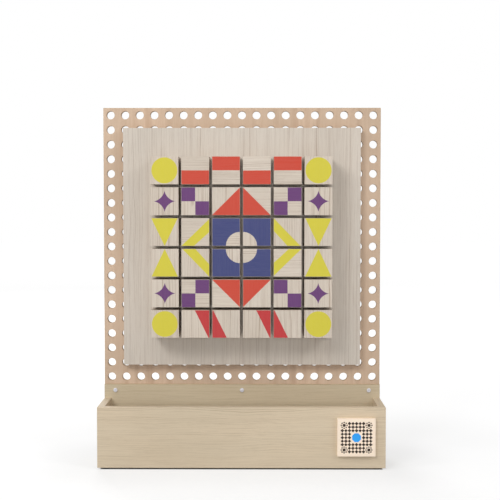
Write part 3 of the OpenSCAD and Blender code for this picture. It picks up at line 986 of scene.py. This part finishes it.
# The floor's own glow: how far from the object's footprint, in metres, and how strong. It is none
# under the object and weaker near it, a painted shadow round its foot
FLOOR_GLOW_AND_PAINTED_SHADOW = ((0.0, 0.0), (0.004, 0.57), (0.20, 0.64), (0.60, 0.70), (2.0, 0.77), (7.0, 0.84))
# The part of that glow that falls on the object
GLOW_ON_OBJECT = 0.2
# The footprint is this much smaller than the boards that stand on it
FOOT_INSET = Vector((0.008, 0.003, 0.0))
PAPER_DARK, PAPER_PALE = (0.34, 0.34, 0.34, 1), (0.36, 0.36, 0.36, 1)
PAPER_ROUGH = 0.9
# The size of the paper's faint mottling, in metres
MOTTLE = 2 / 3
FLOOR_REACH, FLOOR_STEPS = 14.0, 8


def stage_floor():
    """A pale paper floor that glows, weakly near the object and more away from it: a painted shadow
    round the object's foot.
    """
    s = Shader("studio_floor")
    place = s.put("ShaderNodeTexCoord").outputs["Object"]
    mottle = s.noise(place, (MOTTLE, MOTTLE, MOTTLE), 3.0)
    colour = s.mix(s.spread(mottle, 0.3, 0.7), PAPER_DARK, PAPER_PALE)
    material = s.finish(colour, PAPER_ROUGH)
    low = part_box("bin_front")[0] + FOOT_INSET
    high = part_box("perforated_panel")[1] - FOOT_INSET
    middle, half = (low + high) / 2, (high - low) / 2
    offset = s.vector("ABSOLUTE", s.vector("SUBTRACT", place, middle), (0, 0, 0))
    offset = s.vector("MAXIMUM", s.vector("SUBTRACT", offset, half), (0, 0, 0))
    away = s.length(s.vector("MULTIPLY", offset, (1, 1, 0)))
    # The glow rises with distance from the footprint, so the floor under and near the object is
    # painted darker, a painted shadow
    glow = 0.0
    for (start, low_glow), (stop, high_glow) in zip(FLOOR_GLOW_AND_PAINTED_SHADOW, FLOOR_GLOW_AND_PAINTED_SHADOW[1:]):
        rise = s.put("ShaderNodeMapRange", {0: away, 1: start, 2: stop, 4: high_glow - low_glow},
                     interpolation_type="SMOOTHSTEP").outputs[0]
        glow = s.math("ADD", rise, glow)
    seen = s.put("ShaderNodeLightPath").outputs["Is Camera Ray"]
    glow = s.math("MULTIPLY", glow, s.spread(seen, 0.0, 1.0, GLOW_ON_OBJECT, 1.0))
    s.tree.links.new(glow, s.skin.inputs["Emission Strength"])
    s.skin.inputs["Emission Color"].default_value = (1, 1, 1, 1)
    mesh = bpy.data.meshes.new("studio_floor")
    marks = [FLOOR_REACH * (2 * i / FLOOR_STEPS - 1) for i in range(FLOOR_STEPS + 1)]
    points = [(x, y, 0.0) for y in marks for x in marks]
    row = len(marks)
    faces = [(k * row + i, k * row + i + 1, (k + 1) * row + i + 1, (k + 1) * row + i)
             for k in range(FLOOR_STEPS) for i in range(FLOOR_STEPS)]
    mesh.from_pydata(points, [], faces)
    mesh.materials.append(material)
    floor = bpy.data.objects.new("studio_floor", mesh)
    bpy.context.collection.objects.link(floor)


LIGHTS_AIM = Vector((0, 0, 0.4))
LIGHTS_DISTANCE = 4.0
# Direction from the object, power in watts, and size in metres
SOFTBOXES = {
    "key_left": ((-1.0, -0.5, 0.8), 32.0, (1.2, 1.2)),
    "front_left": ((-0.6, -1.0, 0.75), 49.0, (1.2, 1.2)),
    "key_right": ((1.0, -0.7, 0.8), 34.0, (1.2, 1.2)),
    "front_low": ((0.0, -1.0, 0.08), 29.0, (0.7, 1.0)),
    "back": ((-0.3, 1.0, 0.6), 48.0, (1.6, 1.6)),
}


def softbox(name, towards, power, size):
    """A soft rectangular light that faces the object."""
    lamp = bpy.data.lights.new(name, "AREA")
    lamp.shape = "RECTANGLE"
    lamp.size, lamp.size_y = size
    lamp.energy = power
    thing = bpy.data.objects.new(name, lamp)
    thing.location = LIGHTS_AIM + LIGHTS_DISTANCE * Vector(towards).normalized()
    thing.rotation_mode = "QUATERNION"
    thing.rotation_quaternion = (LIGHTS_AIM - thing.location).to_track_quat("-Z", "Y")
    bpy.context.collection.objects.link(thing)


def studio_world(backdrop, ambient):
    """A white backdrop for the camera, and a weaker even light on everything else."""
    world = bpy.data.worlds.new("studio")
    world.use_nodes = True
    tree = world.node_tree
    tree.nodes["Background"].inputs[0].default_value = (1, 1, 1, 1)
    seen = tree.nodes.new("ShaderNodeLightPath").outputs["Is Camera Ray"]
    level = tree.nodes.new("ShaderNodeMapRange")
    level.inputs[3].default_value, level.inputs[4].default_value = ambient, backdrop
    tree.links.new(seen, level.inputs[0])
    tree.links.new(level.outputs[0], tree.nodes["Background"].inputs[1])
    bpy.context.scene.world = world


stage_floor()
studio_world(backdrop=1.0, ambient=0.40)
for name, (towards, power, size) in SOFTBOXES.items():
    softbox(name, towards, power, size)

# The photograph's view, fitted to the centres of the panel's holes
CAMERA_PLACE = Vector((0.0315, -2.1312, 0.5406))
CAMERA_FORWARD = Vector((-0.00646, 0.99917, -0.04031))
SENSOR_MM, LENS_MM = 36.0, 72.36
camera_data = bpy.data.cameras.new("camera")
camera_data.sensor_width = SENSOR_MM
camera_data.lens = LENS_MM
camera = bpy.data.objects.new("camera", camera_data)
camera.location = CAMERA_PLACE
camera.rotation_mode = "QUATERNION"
camera.rotation_quaternion = CAMERA_FORWARD.to_track_quat("-Z", "Y")
bpy.context.collection.objects.link(camera)
bpy.context.scene.camera = camera
bpy.context.scene.view_settings.view_transform = "Standard"
